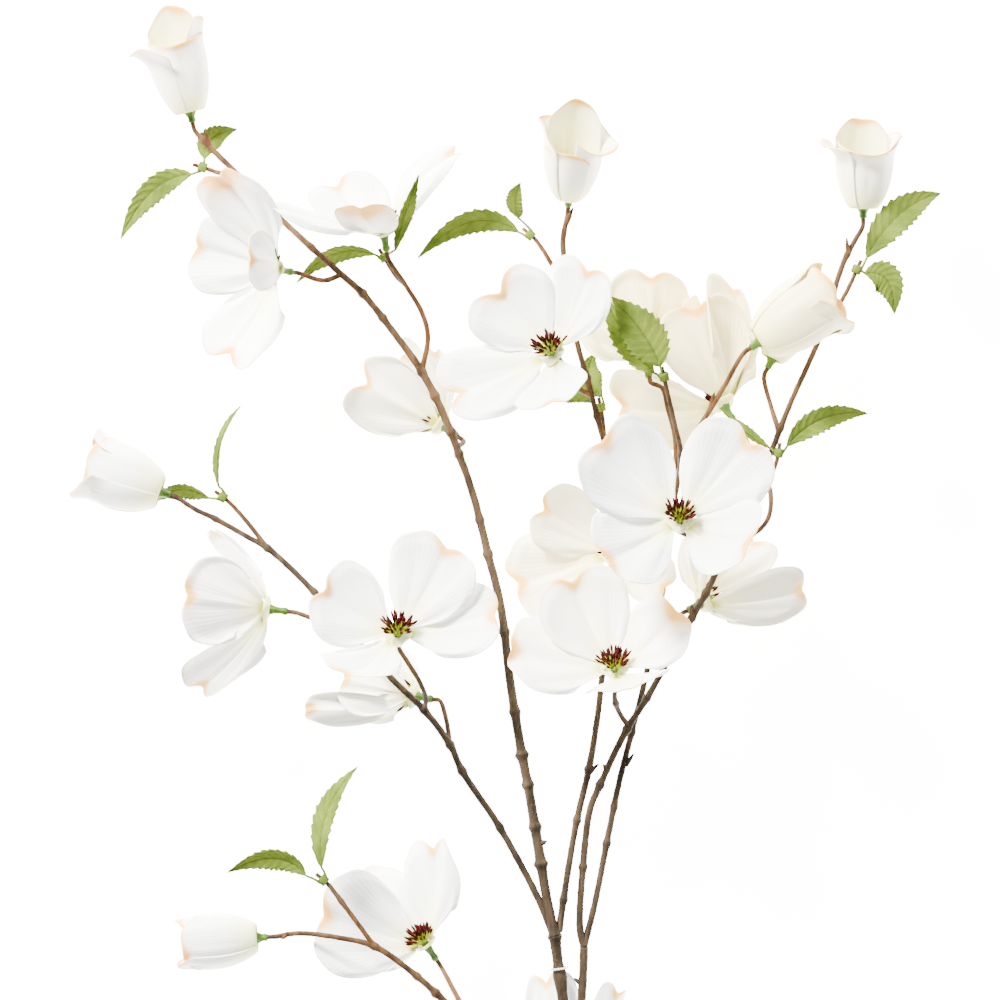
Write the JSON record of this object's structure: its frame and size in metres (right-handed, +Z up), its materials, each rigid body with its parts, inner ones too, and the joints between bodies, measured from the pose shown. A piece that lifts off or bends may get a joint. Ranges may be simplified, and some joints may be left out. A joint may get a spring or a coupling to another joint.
{
  "type": "dogwood branch",
  "caption": "Cut flowering dogwood branch lying flat, with broad notched four-petal blooms, closed buds on green collars, paired serrated leaves and forked brown stems.",
  "frame": {"origin": "middle of the bounding box's foot, on the surface that the branch lies on", "axes": "+Y along the stems from the cut end to the highest bud, +Z up from the surface, +X across the branch"},
  "size_m": [0.4368, 0.8258, 0.123],
  "materials": {
    "petals": "matte ivory white",
    "hearts": "matte yellow-green",
    "bud_collars": "matte green",
    "leaves": "matte yellow-green",
    "bark": "semi-gloss brown",
    "thread": "matte white thread"
  },
  "bodies": {
    "root": {"bloom_01": "petals", "bloom_01_heart": "hearts", "bloom_02": "petals", "bloom_02_heart": "hearts", "bloom_03": "petals", "bloom_03_heart": "hearts", "bloom_04": "petals", "bloom_04_heart": "hearts", "bloom_05": "petals", "bloom_05_heart": "hearts", "bloom_06": "petals", "bloom_06_heart": "hearts", "bloom_07": "petals", "bloom_07_heart": "hearts", "bloom_08": "petals", "bloom_08_heart": "hearts", "bloom_09": "petals", "bloom_09_heart": "hearts", "bloom_10": "petals", "bloom_10_heart": "hearts", "bloom_11": "petals", "bloom_11_heart": "hearts", "bloom_12": "petals", "bloom_12_heart": "hearts", "bloom_13": "petals", "bloom_13_heart": "hearts", "bloom_14": "petals", "bloom_14_heart": "hearts", "bloom_15": "petals", "bloom_15_heart": "hearts", "bud_01": "petals", "bud_01_collar": "bud_collars", "bud_02": "petals", "bud_02_collar": "bud_collars", "bud_03": "petals", "bud_03_collar": "bud_collars", "bud_04": "petals", "bud_04_collar": "bud_collars", "bud_05": "petals", "bud_05_collar": "bud_collars", "bud_06": "petals", "bud_06_collar": "bud_collars", "bud_07": "petals", "bud_07_collar": "bud_collars", "leaves_01": "leaves", "leaves_02": "leaves", "leaves_03": "leaves", "leaves_04": "leaves", "leaves_05": "leaves", "leaves_06": "leaves", "leaves_07": "leaves", "leaves_08": "leaves", "leaves_09": "leaves", "wood": "bark", "tag_loop": "thread"}
  },
  "joints": []
}
